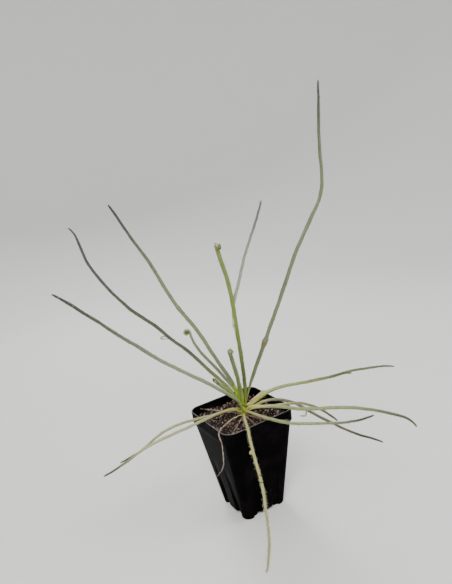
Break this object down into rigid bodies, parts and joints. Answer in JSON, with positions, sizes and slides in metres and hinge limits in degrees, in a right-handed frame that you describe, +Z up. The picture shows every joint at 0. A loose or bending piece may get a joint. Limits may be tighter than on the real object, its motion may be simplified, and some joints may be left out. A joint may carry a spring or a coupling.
{
  "type": "potted dewy pine",
  "caption": "Carnivorous dewy pine with long, slender, gland-studded leaves, some coiled at the tip, in a tall square black nursery pot of dark mix.",
  "frame": {"origin": "centre of the flat pad under the pot, on the pot's axis at floor level", "axes": "+Z up; +X and +Y square to the pot's faces; the picture's camera stands about 29 degrees to the -X side of -Y"},
  "size_m": [0.3496, 0.2707, 0.3861],
  "materials": {
    "pot_plastic": "black moulded plastic, satin gloss",
    "potting_mix": "coarse dark peat mix with pinkish and pale grains",
    "crown_green": "bright yellow-green young growth",
    "leaf_green": "olive green, dewy with stalked glands",
    "leaf_grey": "grey green, frosted with dew drops",
    "leaf_pale": "straw yellow base, grey green towards the tip",
    "leaf_dry": "matt, dry, pinkish brown"
  },
  "bodies": {
    "root": {"pot": "pot_plastic", "soil": "potting_mix", "crown": "crown_green", "leaf_tall_right": "leaf_grey", "leaf_centre_coiled": "leaf_green", "leaf_back_thin": "leaf_grey", "leaf_left_straight": "leaf_grey", "leaf_left_wavy": "leaf_grey", "leaf_left_low": "leaf_grey", "leaf_coiled_left": "leaf_green", "leaf_coiled_short": "leaf_green", "leaf_broken_left": "leaf_green", "leaf_right_upper_long": "leaf_pale", "leaf_right_upper_short": "leaf_pale", "leaf_right_flat": "leaf_pale", "leaf_right_low": "leaf_pale", "leaf_right_arch": "leaf_pale", "leaf_right_drooping": "leaf_pale", "leaf_left_trailing": "leaf_pale", "leaf_left_trailing_upper": "leaf_pale", "leaf_front_long": "leaf_pale", "leaf_withered_left": "leaf_dry", "leaf_withered_over_rim": "leaf_dry", "leaf_withered_front": "leaf_dry", "leaf_withered_short": "leaf_dry", "leaf_withered_right": "leaf_dry"}
  },
  "joints": []
}
